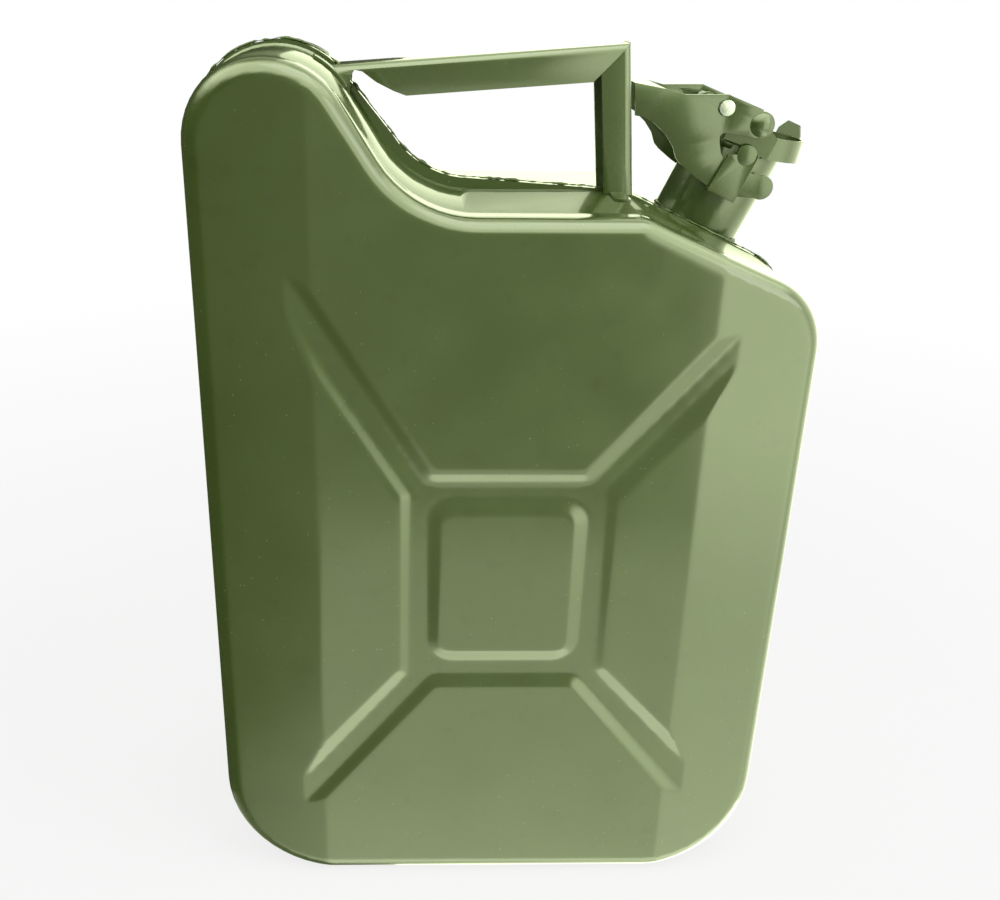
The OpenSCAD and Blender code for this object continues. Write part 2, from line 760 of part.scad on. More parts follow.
module band_welds() {
    mid = pivot_u - arm_rear + band_weld_l * 0.7;
    top = pivot_s - arm_rear - layer_gap;
    color([0.3, 0.36, 0.2])
        at_neck()
            for (s = [-1, 1])
                intersection() {
                    translate([mid, s * (neck_r - band_weld_r + layer_gap), top])
                        rotate([0, 90, 0])
                            cylinder(h = band_weld_l, r = band_weld_r, center = true, $fn = fine);
                    difference() {
                        translate([mid - band_weld_l, s > 0 ? 0 : -arm_out + layer_gap / 2,
                                top - 3 * band_weld_r])
                            cube([2 * band_weld_l, arm_out - layer_gap / 2, 3 * band_weld_r]);
                        translate([0, 0, band_s - neck_l / 4])
                            cylinder(h = neck_l / 2, r = neck_r + weld_gap, $fn = fine);
                    }
                }
}

module keeper() {
    at_neck()
        difference() {
            union() {
                side_plate(-keeper_out, keeper_t)
                    polygon([[keeper_left, keeper_s], [keeper_right, keeper_s],
                        [keeper_right, stud_s + stud_r / 2], [stud_u, stud_s + stud_r / 4],
                        [keeper_left + keeper_t / 2, stud_s - stud_r * 0.75]]);
                // the strap's foot turns in to the neck
                translate([keeper_left, -keeper_out, keeper_s])
                    cube([keeper_right - keeper_left, keeper_out - neck_r / 2, keeper_t]);
            }
            translate([0, 0, keeper_s - cut]) cylinder(h = neck_l, r = neck_r + weld_gap, $fn = fine);
            rod(stud_u, stud_s, stud_r + weld_gap, -keeper_out - cut, 0);
        }
}

module keeper_near() {
    color([0.33, 0.4, 0.22]) keeper();
}

module keeper_far() {
    color([0.33, 0.4, 0.22])
        translate([0, 2 * neck_y, 0]) mirror([0, 1, 0]) keeper();
}

module keeper_studs() {
    color([0.22, 0.27, 0.15])
        at_neck()
            difference() {
                union() {
                    rod(stud_u, stud_s, stud_r, -keeper_out + layer_gap, keeper_out - layer_gap);
                    rod(stud_u, stud_s, stud_r * 0.78, -keeper_out, keeper_out);
                }
                translate([0, 0, keeper_s]) cylinder(h = neck_l, r = neck_r + weld_gap, $fn = fine);
            }
}

module pivot_rivets() {
    dome = (head_r * head_r + head_h * head_h) / (2 * head_h);
    color([0.33, 0.4, 0.22])
        at_neck()
            for (s = [0, 1])
                mirror([0, s, 0]) {
                    rod(pivot_u, pivot_s, pivot_r, arm_in + running_gap, lever_out + layer_gap / 3);
                    translate([pivot_u, lever_out + layer_gap / 3, pivot_s])
                        rotate([-90, 0, 0])
                            intersection() {
                                translate([0, 0, head_h - dome]) sphere(dome, $fn = fine);
                                cylinder(h = head_h, r = head_r, $fn = fine);
                            }
                }
}

module lever_shape() {
    difference() {
        union() {
            polygon(lever_side);
            translate([pivot_u, pivot_s]) circle(lever_end, $fn = fine);
            translate(pivot + lever_l * finger_share) circle(finger_r, $fn = fine);
        }
        translate([pivot_u, pivot_s]) circle(pivot_r + running_gap, $fn = fine);
        translate([pin_u, pin_s]) circle(pin_r + weld_gap, $fn = fine);
    }
}

module lever() {
    web = unit(lever_side[1] - lever_side[0]);
    color([0.33, 0.4, 0.22])
        at_neck()
            union() {
                both_plates(lever_in, lever_t) lever_shape();
                side_plate(-lever_in - lever_t / 2, 2 * lever_in + lever_t)
                    polygon([lever_side[0], lever_side[0] + web * lever_web,
                        lever_side[0] + web * lever_web + [web.y, -web.x] * lever_t,
                        lever_side[0] + [web.y, -web.x] * lever_t]);
            }
}

module cap_pin() {
    color([0.72, 0.73, 0.73])
        at_neck() {
            rod(pin_u, pin_s, pin_r, -lever_out - pin_out, lever_out + pin_out);
            rod(pin_u, pin_s, pin_head, -lever_out - pin_out, -lever_out - weld_gap);
            rod(pin_u, pin_s, pin_head, lever_out + weld_gap, lever_out + pin_out);
        }
}

module cap_plate() {
    color([0.33, 0.4, 0.22])
        at_neck()
            difference() {
                translate([0, 0, cap_s - gasket_t * 0.8])
                    cylinder(h = cap_t + gasket_t * 0.8, r = cap_r, $fn = fine);
                translate([0, 0, cap_s - cut - gasket_t])
                    cylinder(h = cut + gasket_t, r = cap_r - skirt_t, $fn = fine);
                translate([rivet_u, 0, cap_s - cut])
                    cylinder(h = cap_t + 2 * cut, r = rivet_r + weld_gap, $fn = fine);
            }
}

module cap_bracket() {
    color([0.33, 0.4, 0.22])
        at_neck()
            difference() {
                union() {
                    translate([bracket_rear, -bracket_w, bracket_s + weld_gap])
                        cube([bracket_front - bracket_rear, 2 * bracket_w, bracket_t]);
                    both_plates(bracket_w - bracket_t, bracket_t) union() {
                        polygon([[bracket_rear - 2 * bracket_t, bracket_s + weld_gap],
                            [bracket_front, bracket_s + weld_gap], [bracket_front, bracket_s + bracket_t],
                            [pin_u + bracket_r / 2, pin_s + bracket_r * 0.88],
                            [pin_u - bracket_r / 2, pin_s - bracket_r * 0.88]]);
                        translate([pin_u, pin_s]) circle(bracket_r, $fn = fine);
                    }
                }
                rod(pin_u, pin_s, pin_r + running_gap, -bracket_w - cut, bracket_w + cut);
                translate([rivet_u, 0, bracket_s - cut])
                    cylinder(h = 4 * cut, r = rivet_r + weld_gap, $fn = fine);
            }
}

module cap_rivet() {
    dome = (rivet_head * rivet_head + rivet_h * rivet_h) / (2 * rivet_h);
    color([0.33, 0.4, 0.22])
        at_neck()
            translate([rivet_u, 0, cap_s + weld_gap]) {
                cylinder(h = cap_t + bracket_t + 4 * weld_gap, r = rivet_r, $fn = fine);
                translate([0, 0, cap_t + bracket_t + weld_gap])
                    intersection() {
                        translate([0, 0, rivet_h - dome]) sphere(dome, $fn = fine);
                        cylinder(h = rivet_h, r = rivet_head, $fn = fine);
                    }
            }
}

module cap_gasket() {
    color([0.08, 0.08, 0.08])
        at_neck()
            translate([0, 0, gasket_s])
                difference() {
                    cylinder(h = gasket_t - weld_gap, r = cap_r - skirt_t - running_gap, $fn = fine);
                    translate([0, 0, -cut]) cylinder(h = gasket_t + 2 * cut, r = gasket_in, $fn = fine);
                }
}

front_shell();
rear_shell();
seam_weld();
handle_grip();
handle_post();
grip_welds();
foot_welds();
neck_tube();
neck_weld();
seat_ring();
air_tube();
hinge_band();
band_welds();
keeper_near();
keeper_far();
keeper_studs();
pivot_rivets();
lever();
cap_pin();
cap_plate();
cap_bracket();
cap_rivet();
cap_gasket();
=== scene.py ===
import json
import math

import bpy
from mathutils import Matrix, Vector

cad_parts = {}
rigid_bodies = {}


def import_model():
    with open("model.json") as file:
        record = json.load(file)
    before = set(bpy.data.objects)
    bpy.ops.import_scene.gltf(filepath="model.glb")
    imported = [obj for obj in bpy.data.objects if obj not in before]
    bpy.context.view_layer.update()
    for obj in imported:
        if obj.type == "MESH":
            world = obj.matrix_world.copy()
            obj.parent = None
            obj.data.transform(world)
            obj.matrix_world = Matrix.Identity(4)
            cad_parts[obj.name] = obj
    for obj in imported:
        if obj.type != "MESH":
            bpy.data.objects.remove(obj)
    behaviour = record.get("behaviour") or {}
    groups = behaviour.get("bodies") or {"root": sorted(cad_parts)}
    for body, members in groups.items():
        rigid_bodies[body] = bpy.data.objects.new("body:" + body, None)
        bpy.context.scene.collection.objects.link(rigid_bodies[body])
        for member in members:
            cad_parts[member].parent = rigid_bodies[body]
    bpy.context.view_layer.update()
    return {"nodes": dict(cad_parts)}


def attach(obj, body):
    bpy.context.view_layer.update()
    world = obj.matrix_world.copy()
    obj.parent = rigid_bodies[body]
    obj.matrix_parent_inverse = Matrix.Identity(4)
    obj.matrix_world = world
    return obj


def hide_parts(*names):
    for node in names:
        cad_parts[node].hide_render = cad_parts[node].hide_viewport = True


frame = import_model()
nodes = frame["nodes"]
scene = bpy.context.scene


def pickOnly(*things):
    bpy.ops.object.select_all(action="DESELECT")
    for thing in things:
        thing.select_set(True)
    bpy.context.view_layer.objects.active = things[0]


def editMode(kind):
    bpy.ops.object.mode_set(mode="EDIT")
    bpy.context.tool_settings.mesh_select_mode = [kind == k for k in ("VERT", "EDGE", "FACE")]


def objectMode():
    bpy.ops.object.mode_set(mode="OBJECT")


def keepSelected(piece, part, chosen):
    # selects the chosen vertices or faces of a piece, leaving it in edit mode
    kind = "VERT" if part == "vertices" else "FACE"
    pickOnly(piece)
    editMode(kind)
    bpy.ops.mesh.select_all(action="DESELECT")
    objectMode()
    for item in getattr(piece.data, part):
        item.select = chosen(item)
    editMode(kind)


def copyNode(nodeName, pieceName, weld=0.000004):
    # a solid's mesh is loose triangles, so its copy is merged first
    piece = bpy.data.objects.new(pieceName, nodes[nodeName].data.copy())
    scene.collection.objects.link(piece)
    piece.data.materials.clear()
    pickOnly(piece)
    bpy.ops.mesh.customdata_custom_splitnormals_clear()
    editMode("VERT")
    bpy.ops.mesh.select_all(action="SELECT")
    bpy.ops.mesh.remove_doubles(threshold=weld)
    objectMode()
    return piece


def applyModifier(piece, kind, **settings):
    pickOnly(piece)
    modifier = piece.modifiers.new(kind.title(), kind)
    for key, value in settings.items():
        setattr(modifier, key, value)
    bpy.ops.object.modifier_apply(modifier=modifier.name)


def smoothShade(piece, degrees):
    pickOnly(piece)
    bpy.ops.object.shade_smooth_by_angle(angle=math.radians(degrees))


def dress(piece, body, material, slot, *replaced):
    piece.data.materials.clear()
    piece.data.materials.append(material)
    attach(piece, body)
    if replaced:
        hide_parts(*replaced)
    return piece


# Shader nodes that the materials and the studio are built from

def newGroup(name, inputs, outputs):
    group = bpy.data.node_groups.new(name, "ShaderNodeTree")
    for label, kind, value in inputs:
        group.interface.new_socket(label, in_out="INPUT", socket_type=kind).default_value = value
    for label, kind in outputs:
        group.interface.new_socket(label, in_out="OUTPUT", socket_type=kind)
    return group, group.nodes.new("NodeGroupInput"), group.nodes.new("NodeGroupOutput")


def noise(tree, scale, detail=3.0, roughness=0.55, vector=None):
    node = tree.nodes.new("ShaderNodeTexNoise")
    node.inputs["Scale"].default_value = scale
    node.inputs["Detail"].default_value = detail
    node.inputs["Roughness"].default_value = roughness
    if vector is not None:
        tree.links.new(vector, node.inputs["Vector"])
    return node.outputs["Fac"]


def remap(tree, value, low, high, outLow=0.0, outHigh=1.0):
    node = tree.nodes.new("ShaderNodeMapRange")
    for key, number in zip(("From Min", "From Max", "To Min", "To Max"), (low, high, outLow, outHigh)):
        node.inputs[key].default_value = number
    tree.links.new(value, node.inputs["Value"])
    return node.outputs["Result"]


def maths(tree, operation, first, second=0.0):
    node = tree.nodes.new("ShaderNodeMath")
    node.operation = operation
    for socket, value in zip(node.inputs, (first, second)):
        if isinstance(value, (int, float)):
            socket.default_value = value
        else:
            tree.links.new(value, socket)
    return node.outputs["Value"]


def times(tree, first, *others):
    for other in others:
        first = maths(tree, "MULTIPLY", first, other)
    return first


def mixColour(tree, factor, first, second):
    node = tree.nodes.new("ShaderNodeMix")
    node.data_type = "RGBA"
    for key, value in ((0, factor), (6, first), (7, second)):
        if isinstance(value, (int, float, tuple)):
            node.inputs[key].default_value = value
        else:
            tree.links.new(value, node.inputs[key])
    return node.outputs[2]


# dust: a scatter of pale specks that lies in patches, as a mask from 0 to 1
dustLook = {
    "scale": 700.0,
    "amount": 0.1,
    "speckEdge": (0.06, 0.17),
    "patchScale": 14,
    "patchEdge": (0.45, 0.62)}
dustGroup, dustIn, dustOut = newGroup(
    "dustSpecks",
    [("Vector", "NodeSocketVector", (0, 0, 0)),
     ("Scale", "NodeSocketFloat", dustLook["scale"]),
     ("Amount", "NodeSocketFloat", dustLook["amount"])],
    [("Mask", "NodeSocketFloat")])
cells = dustGroup.nodes.new("ShaderNodeTexVoronoi")
dustGroup.links.new(dustIn.outputs["Vector"], cells.inputs["Vector"])
dustGroup.links.new(dustIn.outputs["Scale"], cells.inputs["Scale"])
speck = remap(dustGroup, cells.outputs["Distance"], *dustLook["speckEdge"], 1, 0)
splitColour = dustGroup.nodes.new("ShaderNodeSeparateColor")
dustGroup.links.new(cells.outputs["Color"], splitColour.inputs["Color"])
rare = maths(dustGroup, "LESS_THAN", splitColour.outputs["Red"], dustIn.outputs["Amount"])
patches = noise(dustGroup, dustLook["patchScale"], 2, vector=dustIn.outputs["Vector"])
patch = remap(dustGroup, patches, *dustLook["patchEdge"])
dustGroup.links.new(times(dustGroup, speck, rare, patch), dustOut.inputs["Mask"])

# orange peel: the height of sprayed enamel, fine grain and lumps over slow waves
peelLook = {
    "grain": 0.3,
    "grainScale": 520,
    "waves": 1.0,
    "waveScale": 24,
    "waveRoughness": 0.4,
    "lumps": 0.0,
    "lumpScale": 210}
peelGroup, peelIn, peelOut = newGroup(
    "orangePeel",
    [("Vector", "NodeSocketVector", (0, 0, 0)),
     ("Grain", "NodeSocketFloat", peelLook["grain"]),
     ("Waves", "NodeSocketFloat", peelLook["waves"]),
     ("Lumps", "NodeSocketFloat", peelLook["lumps"])],
    [("Height", "NodeSocketFloat")])
peelPlace = peelIn.outputs["Vector"]
peelGrain = noise(peelGroup, peelLook["grainScale"], 2, vector=peelPlace)
peelFine = times(peelGroup, peelGrain, peelIn.outputs["Grain"])
peelSlow = noise(peelGroup, peelLook["waveScale"], 2, peelLook["waveRoughness"], peelPlace)
peelWave = times(peelGroup, peelSlow, peelIn.outputs["Waves"])
peelCoarse = noise(peelGroup, peelLook["lumpScale"], vector=peelPlace)
peelLump = times(peelGroup, peelCoarse, peelIn.outputs["Lumps"])
peelHeight = maths(peelGroup, "ADD", maths(peelGroup, "ADD", peelFine, peelWave), peelLump)
peelGroup.links.new(peelHeight, peelOut.inputs["Height"])


def newMaterial(name):
    material = bpy.data.materials.new(name)
    material.use_nodes = True
    tree = material.node_tree
    shader = tree.nodes["Principled BSDF"]
    place = tree.nodes.new("ShaderNodeTexCoord").outputs["Object"]
    return material, tree, shader, place


def useGroup(tree, group, place, **values):
    node = tree.nodes.new("ShaderNodeGroup")
    node.node_tree = group
    tree.links.new(place, node.inputs["Vector"])
    for key, value in values.items():
        node.inputs[key.title()].default_value = value
    return node.outputs[0]


def addBump(tree, shader, height, strength, depth):
    bump = tree.nodes.new("ShaderNodeBump")
    bump.inputs["Strength"].default_value = strength
    bump.inputs["Distance"].default_value = depth
    tree.links.new(height, bump.inputs["Height"])
    tree.links.new(bump.outputs["Normal"], shader.inputs["Normal"])


def makePaint(name, look):
    material, tree, shader, place = newMaterial(name)
    drift = remap(tree, noise(tree, look["driftScale"], 2, vector=place), *look["driftEdge"])
    colour = mixColour(tree, drift, look["dark"], look["light"])
    stains = noise(tree, look["grimeScale"], 4, look["grimeRoughness"], place)
    grime = remap(tree, stains, *look["grimeEdge"], 0, look["grime"])
    colour = mixColour(tree, grime, colour, look["grimeColour"])
    dust = useGroup(tree, dustGroup, place, scale=look["dustScale"], amount=look["dust"])
    colour = mixColour(tree, times(tree, dust, look["dustCover"]), colour, look["dustColour"])
    tree.links.new(colour, shader.inputs["Base Color"])
    worn = [look["rough"] * share for share in look["roughSpread"]]
    rough = remap(tree, noise(tree, look["roughScale"], vector=place), *look["roughEdge"], *worn)
    rough = maths(tree, "ADD", rough, times(tree, dust, look["dustRough"]))
    tree.links.new(rough, shader.inputs["Roughness"])
    peel = useGroup(tree, peelGroup, place, grain=look["grain"], waves=look["waves"], lumps=look["lumps"])
    addBump(tree, shader, peel, look["bump"], look["bumpDepth"])
    shader.inputs["Coat Weight"].default_value = look["coat"]
    shader.inputs["Coat Roughness"].default_value = look["coatRough"]
    shader.inputs["Specular IOR Level"].default_value = look["specular"]
    return material


shellLook = {
    "dark": (0.060, 0.099, 0.013, 1),
    "light": (0.072, 0.114, 0.019, 1),
    "driftScale": 9,
    "driftEdge": (0.35, 0.65),
    "grime": 0.25,
    "grimeScale": 95,
    "grimeRoughness": 0.65,
    "grimeEdge": (0.56, 0.72),
    "grimeColour": (0.035, 0.055, 0.014, 1),
    "dust": 0.07,
    "dustScale": 520,
    "dustCover": 0.75,
    "dustRough": 0.4,
    "dustColour": (0.30, 0.33, 0.24, 1),
    "rough": 0.22,
    "roughScale": 36,
    "roughEdge": (0.3, 0.7),
    "roughSpread": (0.8, 1.25),
    "bump": 0.35,
    "bumpDepth": 0.0006,
    "grain": 0.10,
    "waves": 1.3,
    "lumps": 0.0,
    "coat": 0.8,
    "coatRough": 0.07,
    "specular": 0.5}
handleLook = dict(
    shellLook, dark=(0.058, 0.093, 0.014, 1), light=(0.070, 0.110, 0.020, 1),
    waves=0.6, grain=0.16, dust=0.06, rough=0.26)
closureLook = dict(
    shellLook, dark=(0.048, 0.080, 0.013, 1), light=(0.060, 0.098, 0.018, 1),
    waves=0.5, grain=0.22, dust=0.05, rough=0.30, coat=0.55, grime=0.4)
weldLook = dict(
    shellLook, dark=(0.036, 0.060, 0.010, 1), light=(0.060, 0.096, 0.016, 1), driftScale=160,
    waves=0.3, grain=0.2, lumps=1.6, bump=0.7, bumpDepth=0.0009, grime=0.7, dust=0.0,
    rough=0.45, coat=0.25, coatRough=0.2, specular=0.35)
shellPaint = makePaint("shellEnamel", shellLook)
handlePaint = makePaint("handleEnamel", handleLook)
closurePaint = makePaint("closureEnamel", closureLook)
weldPaint = makePaint("weldEnamel", weldLook)
print("paint ready")


def makeMetal(name, look):
    material, tree, shader, place = newMaterial(name)
    stain = remap(tree, noise(tree, look["stainScale"], 4, vector=place), *look["stainEdge"])
    tree.links.new(mixColour(tree, stain, look["bright"], look["dull"]), shader.inputs["Base Color"])
    shader.inputs["Metallic"].default_value = 1.0
    worn = [look["rough"] * share for share in look["roughSpread"]]
    rough = remap(tree, noise(tree, look["roughScale"], vector=place), *look["roughEdge"], *worn)
    tree.links.new(rough, shader.inputs["Roughness"])
    addBump(tree, shader, noise(tree, look["pitScale"], 2, vector=place), look["bump"], look["bumpDepth"])
    return material


zincLook = {
    "bright": (0.50, 0.52, 0.53, 1),
    "dull": (0.24, 0.25, 0.26, 1),
    "stainScale": 260,
    "stainEdge": (0.35, 0.7),
    "rough": 0.42,
    "roughScale": 480,
    "roughEdge": (0.3, 0.7),
    "roughSpread": (0.7, 1.4),
    "pitScale": 900,
    "bump": 0.3,
    "bumpDepth": 0.0002}
tubeLook = dict(zincLook, bright=(0.40, 0.41, 0.40, 1), dull=(0.22, 0.22, 0.21, 1))
zincPlate = makeMetal("zincPlate", zincLook)
tubeSteel = makeMetal("tubeSteel", tubeLook)


def makeRubber(name, look):
    material, tree, shader, place = newMaterial(name)
    bloom = remap(tree, noise(tree, look["bloomScale"], vector=place), *look["edge"])
    tree.links.new(mixColour(tree, bloom, look["dark"], look["light"]), shader.inputs["Base Color"])
    rough = remap(tree, noise(tree, look["roughScale"], vector=place), *look["edge"], *look["rough"])
    tree.links.new(rough, shader.inputs["Roughness"])
    return material


rubberLook = {
    "dark": (0.012, 0.012, 0.012, 1),
    "light": (0.03, 0.03, 0.028, 1),
    "bloomScale": 300,
    "edge": (0.3, 0.7),
    "rough": (0.5, 0.75),
    "roughScale": 120}
gasketRubber = makeRubber("gasketRubber", rubberLook)

# Body: two pressed dishes around the seam. The outside of each dish is the softened skin of the pressed
# half, and its wall and inside stay as the solid has them.
bodyShape = {
    "middle": Vector((0, 0, 0.17)),
    "voxel": 0.0011,
    "softTurns": 2,
    "softStep": 0.5,
    "dishStart": 0.0477,  # the softened dish begins this far from the seam
    "wallEnd": 0.0469,  # and the solid's own wall ends here
    "seamTouch": 0.0001,
    "seamFlat": 0.9,
    "frontTouch": 0.00001,
    "mirrorWeld": 0.0002,
    "smoothAngle": 34}


def softDish():
    # one closed, softened skin of both halves, from which the two dishes are cut
    skin = copyNode("front_shell", "skin")
    keepSelected(skin, "polygons", lambda face: (
        abs(face.center.y) < bodyShape["seamTouch"] and abs(face.normal.y) > bodyShape["seamFlat"]))
    bpy.ops.mesh.delete(type="FACE")
    objectMode()
    front = min(vertex.co.y for vertex in skin.data.vertices)
    keepSelected(skin, "vertices", lambda vertex: vertex.co.y < front + bodyShape["frontTouch"])
    bpy.ops.mesh.select_linked()
    bpy.ops.mesh.select_all(action="INVERT")
    bpy.ops.mesh.delete(type="VERT")
    objectMode()
    applyModifier(skin, "MIRROR", use_axis=(False, True, False), merge_threshold=bodyShape["mirrorWeld"])
    applyModifier(skin, "REMESH", mode="VOXEL", voxel_size=bodyShape["voxel"], use_smooth_shade=True)
    pickOnly(skin)
    editMode("VERT")
    bpy.ops.mesh.select_all(action="SELECT")
    bpy.ops.mesh.vertices_smooth(factor=bodyShape["softStep"], repeat=bodyShape["softTurns"])
    objectMode()
    print("skin softened", len(skin.data.polygons))
    return skin


def bisectAt(piece, y, clearSide=0):
    # cuts across the can's depth; clearSide 1 drops what lies behind the cut, -1 what lies in front
    pickOnly(piece)
    editMode("VERT")
    bpy.ops.mesh.select_all(action="SELECT")
    bpy.ops.mesh.bisect(plane_co=(0, y, 0), plane_no=(0, 1, 0), use_fill=False,
                        clear_outer=clearSide > 0, clear_inner=clearSide < 0)
    objectMode()


def makeHalf(skin, nodeName, pieceName, side):
    # side is -1 for the front half and 1 for the rear half
    wall = copyNode(nodeName, pieceName)
    bisectAt(wall, side * bodyShape["wallEnd"])

    def outerDish(face):
        beyond = face.center.y * side > bodyShape["wallEnd"]
        return beyond and face.normal.dot(face.center - bodyShape["middle"]) > 0

    keepSelected(wall, "polygons", outerDish)
    bpy.ops.mesh.delete(type="FACE")
    objectMode()
    dish = bpy.data.objects.new("dish", skin.data.copy())
    scene.collection.objects.link(dish)
    bisectAt(dish, side * bodyShape["dishStart"], -side)
    pickOnly(wall, dish)
    bpy.ops.object.join()
    editMode("EDGE")
    bpy.ops.mesh.select_all(action="DESELECT")
    bpy.ops.mesh.select_non_manifold()
    bpy.ops.mesh.bridge_edge_loops()
    objectMode()
    smoothShade(wall, bodyShape["smoothAngle"])
    print(pieceName, "built", len(wall.data.polygons))
    return wall


softSkin = softDish()
frontPanel = makeHalf(softSkin, "front_shell", "front_panel", -1)
rearPanel = makeHalf(softSkin, "rear_shell", "rear_panel", 1)
bpy.data.objects.remove(softSkin)
dress(frontPanel, "can", shellPaint, "shell_paint", "front_shell")
dress(rearPanel, "can", shellPaint, "shell_paint", "rear_shell")


# Weld beads: lumpy copies of the plain fillets
def makeBead(nodeName, pieceName, look):
    bead = copyNode(nodeName, pieceName)
    applyModifier(bead, "REMESH", mode="VOXEL", voxel_size=look["voxel"], use_smooth_shade=True)
    clouds = bpy.data.textures.new(pieceName + "Lumps", "CLOUDS")
    clouds.noise_scale = look["lump"]
    applyModifier(bead, "DISPLACE", texture=clouds, strength=look["height"], mid_level=look["level"],
                  texture_coords="LOCAL")
    return dress(bead, "can", weldPaint, "weld_paint", nodeName)


beadLook = {"voxel": 0.0005, "lump": 0.0035, "height": 0.0012, "level": 0.6}
seamLook = {"voxel": 0.0008, "lump": 0.006, "height": 0.0022, "level": 0.62}
makeBead("seam_weld", "seam_bead", seamLook)
for nodeName, pieceName in (
        ("neck_weld", "neck_bead"), ("grip_welds", "grip_beads"),
        ("foot_welds", "foot_beads"), ("band_welds", "band_beads")):
    makeBead(nodeName, pieceName, beadLook)
print("weld beads laid")

# Folded and stamped steel: copies of the solids with their sharp edges broken
brokenEdge = {
    "fine": 0.0002,
    "plain": 0.0003,
    "wide": 0.0004,
    "segments": 2,
    "sharpest": 38,
    "smoothAngle": 40}


def makeStamped(nodeName, pieceName, body, material, slot, edge):
    piece = copyNode(nodeName, pieceName)
    applyModifier(piece, "BEVEL", width=brokenEdge[edge], segments=brokenEdge["segments"],
                  limit_method="ANGLE", angle_limit=math.radians(brokenEdge["sharpest"]),
                  use_clamp_overlap=True)
    smoothShade(piece, brokenEdge["smoothAngle"])
    return dress(piece, body, material, slot, nodeName)


for nodeName, pieceName in (("handle_grip", "folded_grip"), ("handle_post", "folded_post")):
    makeStamped(nodeName, pieceName, "can", handlePaint, "handle_paint", "wide")
for nodeName, pieceName, body, edge in (
        ("neck_tube", "neck", "can", "fine"), ("seat_ring", "seat", "can", "plain"),
        ("hinge_band", "band", "can", "plain"), ("keeper_near", "near_keeper", "can", "plain"),
        ("keeper_far", "far_keeper", "can", "plain"), ("keeper_studs", "studs", "can", "plain"),
        ("pivot_rivets", "rivets", "can", "plain"), ("lever", "lever_plates", "lever", "plain"),
        ("cap_plate", "cap", "cap", "wide"), ("cap_bracket", "bracket", "cap", "plain"),
        ("cap_rivet", "rivet", "cap", "fine")):
    makeStamped(nodeName, pieceName, body, closurePaint, "closure_paint", edge)
makeStamped("air_tube", "breather", "can", tubeSteel, "tube_steel", "fine")
makeStamped("cap_pin", "pin", "lever", zincPlate, "zinc", "plain")
makeStamped("cap_gasket", "gasket", "cap", gasketRubber, "gasket_rubber", "wide")
print("steelwork dressed")

# Camera: place in metres and turn in degrees, worked out from points on the can
view = {
    "place": (-0.04868, -0.50357, 0.43702),
    "turn": (66.20032, -0.57019, -1.08874),
    "lens": 39.69157,
    "sensor": 36,
    "shift": 0.080284,
    "clip": (0.01, 50)}
camera = bpy.data.cameras.new("camera")
cameraObject = bpy.data.objects.new("camera", camera)
scene.collection.objects.link(cameraObject)
cameraObject.location = view["place"]
cameraObject.rotation_euler = [math.radians(angle) for angle in view["turn"]]
camera.lens = view["lens"]
camera.sensor_width = view["sensor"]
camera.shift_x = view["shift"]
camera.clip_start, camera.clip_end = view["clip"]
scene.camera = cameraObject

# Studio: a wall and pale cards that the paint mirrors, laid out by direction, in degrees of rise above the
# level and of turn across. 0 across is straight in front of the can, and at an edge one fades into the next.
studio = {
    "worldLight": 0.5,
    "background": 1.0,
    "tint": (0.90, 1.0, 0.66, 1),
    "wall": 0.68,
    "lowCard": 2.1,
    "lowCardEdge": (-25.5, -29.5),
    "lowCardSlant": 0.6,
    "slantStart": -4,
    "raggedScale": 60,
    "raggedRoughness": 0.7,
    "raggedEdge": (0.3, 0.7),
    "ragged": 1.2,
    "footCard": 5.3,
    "footCardEdge": (-42, -48),
    "nadir": 0.4,
    "nadirEdge": (-51, -70),
    "sideCard": 4.6,
    "sideCardEdge": (14, 24),
    "sideCardFoot": (-22, -30),
    "sideCardLow": 0.64,
    "sideCardFar": 0.5,
    "sideCardFarEdge": (55, 80),
    "shade": 0.1,
    "shadeEdge": (-11, -34),
    "topCard": 5.6,
    "topCardEdge": (18, 38),
    "back": 0.13,
    "backEdge": (105, 140),
    "backRise": (62, 86)}


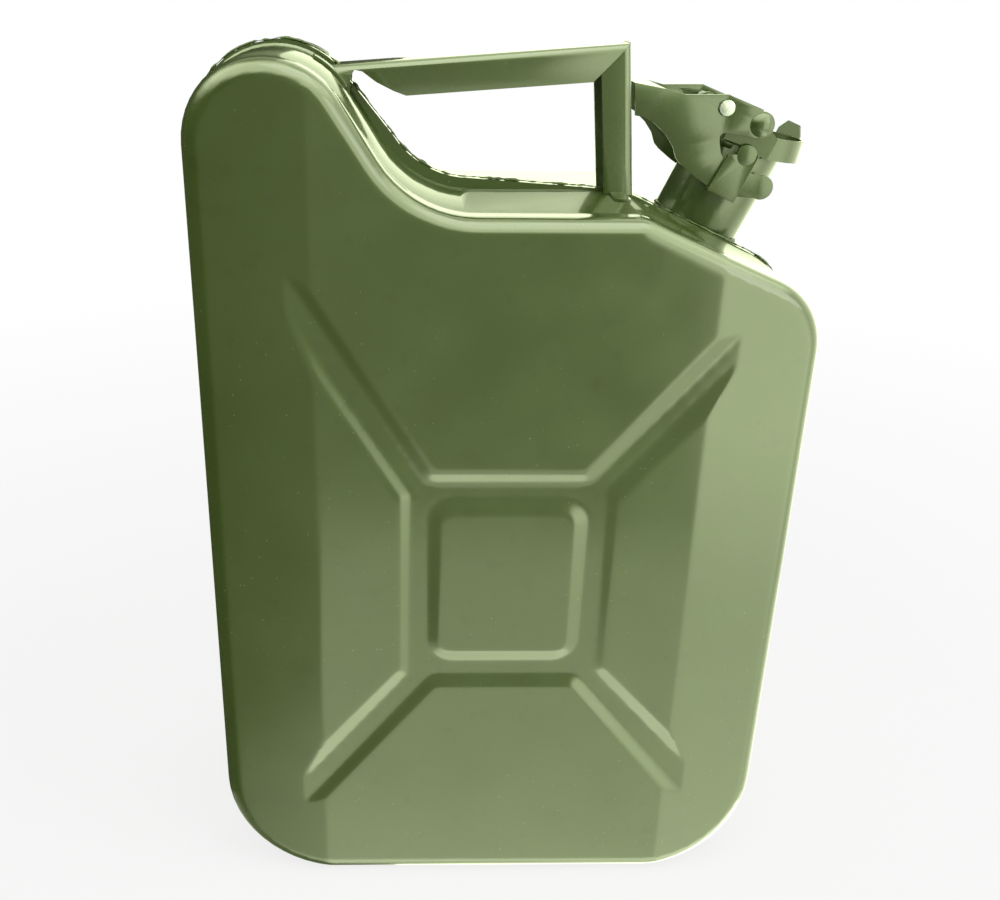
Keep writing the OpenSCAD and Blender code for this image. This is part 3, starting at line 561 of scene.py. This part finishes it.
def makeWorld():
    world = bpy.data.worlds.new("studio")
    scene.world = world
    world.use_nodes = True
    tree = world.node_tree
    direction = tree.nodes.new("ShaderNodeTexCoord").outputs["Generated"]
    aim = tree.nodes.new("ShaderNodeSeparateXYZ")
    tree.links.new(direction, aim.inputs["Vector"])
    toDegrees = math.degrees(1)
    rise = times(tree, maths(tree, "ARCSINE", aim.outputs["Z"]), toDegrees)
    across = maths(tree, "ARCTAN2", aim.outputs["X"], times(tree, aim.outputs["Y"], -1.0))
    across = times(tree, across, toDegrees)
    # the low card's edge is soft and ragged, and slants down toward the left
    ragged = noise(tree, studio["raggedScale"], 4, studio["raggedRoughness"], direction)
    waver = remap(tree, ragged, *studio["raggedEdge"], -studio["ragged"], studio["ragged"])
    rise = maths(tree, "ADD", rise, waver)
    leftward = maths(tree, "MAXIMUM", maths(tree, "SUBTRACT", studio["slantStart"], across), 0.0)
    slanted = maths(tree, "ADD", rise, times(tree, leftward, studio["lowCardSlant"]))
    low = remap(tree, slanted, *studio["lowCardEdge"], studio["wall"], studio["lowCard"])
    low = maths(tree, "MAXIMUM", low, remap(tree, rise, *studio["footCardEdge"], 0, studio["footCard"]))
    low = times(tree, low, remap(tree, rise, *studio["nadirEdge"], 1, studio["nadir"]))
    low = times(tree, low, remap(tree, across, *studio["shadeEdge"], 1, studio["shade"]))
    sideCard = times(
        tree, remap(tree, across, *studio["sideCardEdge"], 0, studio["sideCard"]),
        remap(tree, rise, *studio["sideCardFoot"], 1, studio["sideCardLow"]),
        remap(tree, across, *studio["sideCardFarEdge"], 1, studio["sideCardFar"]))
    behind = remap(tree, maths(tree, "ABSOLUTE", across), *studio["backEdge"], 1, studio["back"])
    behind = maths(tree, "MAXIMUM", behind, remap(tree, rise, *studio["backRise"], studio["back"], 1))
    topCard = times(tree, remap(tree, rise, *studio["topCardEdge"], 0, studio["topCard"]), behind)
    light = maths(tree, "MAXIMUM", maths(tree, "MAXIMUM", low, sideCard), topCard)
    # only mirrored rays see these parts; all other light and the picture's background are plain
    path = tree.nodes.new("ShaderNodeLightPath")
    glossy = path.outputs["Is Glossy Ray"]
    plain = remap(tree, path.outputs["Is Camera Ray"], 0, 1, studio["worldLight"], studio["background"])
    plain = times(tree, plain, maths(tree, "SUBTRACT", 1.0, glossy))
    background = tree.nodes["Background"]
    tree.links.new(mixColour(tree, glossy, (1, 1, 1, 1), studio["tint"]), background.inputs["Color"])
    tree.links.new(maths(tree, "ADD", times(tree, glossy, light), plain), background.inputs["Strength"])


# Floor: pale and plain near the can, fading to the white background for the camera alone
floorLook = {"size": 14, "colour": (0.88, 0.88, 0.87, 1), "rough": 0.9, "fade": (0.35, 1.1), "white": 0.8}


def makeFloor():
    bpy.ops.mesh.primitive_plane_add(size=floorLook["size"], location=(0, 0, 0))
    floor = bpy.context.object
    floor.name = "floor"
    material, tree, shader, place = newMaterial("paleFloor")
    shader.inputs["Base Color"].default_value = floorLook["colour"]
    shader.inputs["Roughness"].default_value = floorLook["rough"]
    shader.inputs["Specular IOR Level"].default_value = 0.0
    glow = tree.nodes.new("ShaderNodeEmission")
    blend = tree.nodes.new("ShaderNodeMixShader")
    reach = tree.nodes.new("ShaderNodeVectorMath")
    reach.operation = "LENGTH"
    tree.links.new(place, reach.inputs[0])
    white = remap(tree, reach.outputs["Value"], *floorLook["fade"], floorLook["white"], 1)
    path = tree.nodes.new("ShaderNodeLightPath")
    tree.links.new(times(tree, path.outputs["Is Camera Ray"], white), blend.inputs["Fac"])
    tree.links.new(shader.outputs["BSDF"], blend.inputs[1])
    tree.links.new(glow.outputs["Emission"], blend.inputs[2])
    tree.links.new(blend.outputs["Shader"], tree.nodes["Material Output"].inputs["Surface"])
    floor.data.materials.append(material)
    floor.visible_glossy = False


softboxes = {
    "topSoftbox": {"place": (0.3, -0.5, 1.9), "width": 1.6, "height": 1.2, "power": 9},
    "sideSoftbox": {"place": (1.3, -0.7, 0.9), "width": 0.8, "height": 0.8, "power": 4}}
softboxTarget = Vector((0, 0, 0.2))


def addSoftbox(name, look):
    lamp = bpy.data.lights.new(name, "AREA")
    lamp.shape = "RECTANGLE"
    lamp.size = look["width"]
    lamp.size_y = look["height"]
    lamp.energy = look["power"]
    box = bpy.data.objects.new(name, lamp)
    scene.collection.objects.link(box)
    box.location = look["place"]
    box.rotation_euler = (softboxTarget - Vector(look["place"])).to_track_quat("-Z", "Y").to_euler()


makeWorld()
makeFloor()
for name, look in softboxes.items():
    addSoftbox(name, look)
scene.view_settings.view_transform = "Standard"
print("studio lit")
